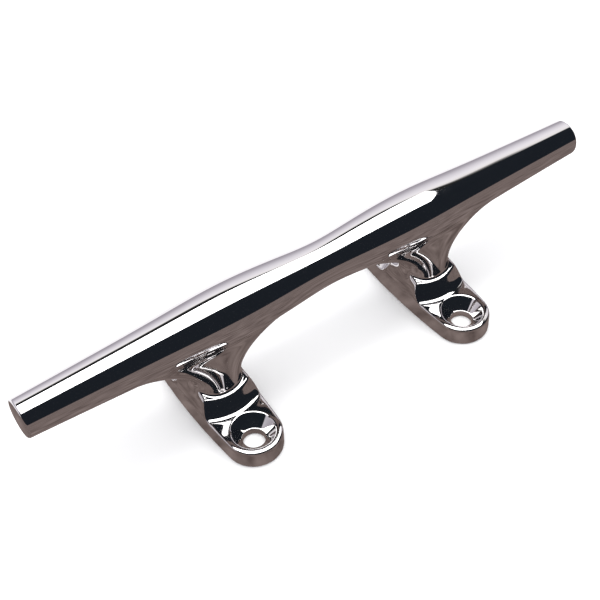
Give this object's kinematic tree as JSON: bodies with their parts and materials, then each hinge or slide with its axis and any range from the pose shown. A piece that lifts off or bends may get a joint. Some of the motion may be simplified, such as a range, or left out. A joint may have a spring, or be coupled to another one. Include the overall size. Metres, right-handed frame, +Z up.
{
  "type": "mooring cleat",
  "caption": "Open base horn cleat in polished stainless steel: a tapered horn on flared legs whose oval feet take countersunk screws; a mooring line is belayed round it.",
  "frame": {"origin": "on the deck plane, under the middle of the horn", "axes": "+X along the horn, +Y across it, +Z up out of the deck"},
  "size_m": [0.2, 0.0588, 0.045],
  "materials": {
    "horn_steel": "mirror polished 316 stainless steel",
    "leg_steel": "polished 316 stainless steel casting, softer in its hollows",
    "foot_steel": "polished 316 stainless steel casting"
  },
  "bodies": {
    "root": {"horn": "horn_steel", "left_leg": "leg_steel", "right_leg": "leg_steel", "left_foot": "foot_steel", "right_foot": "foot_steel"}
  },
  "joints": []
}
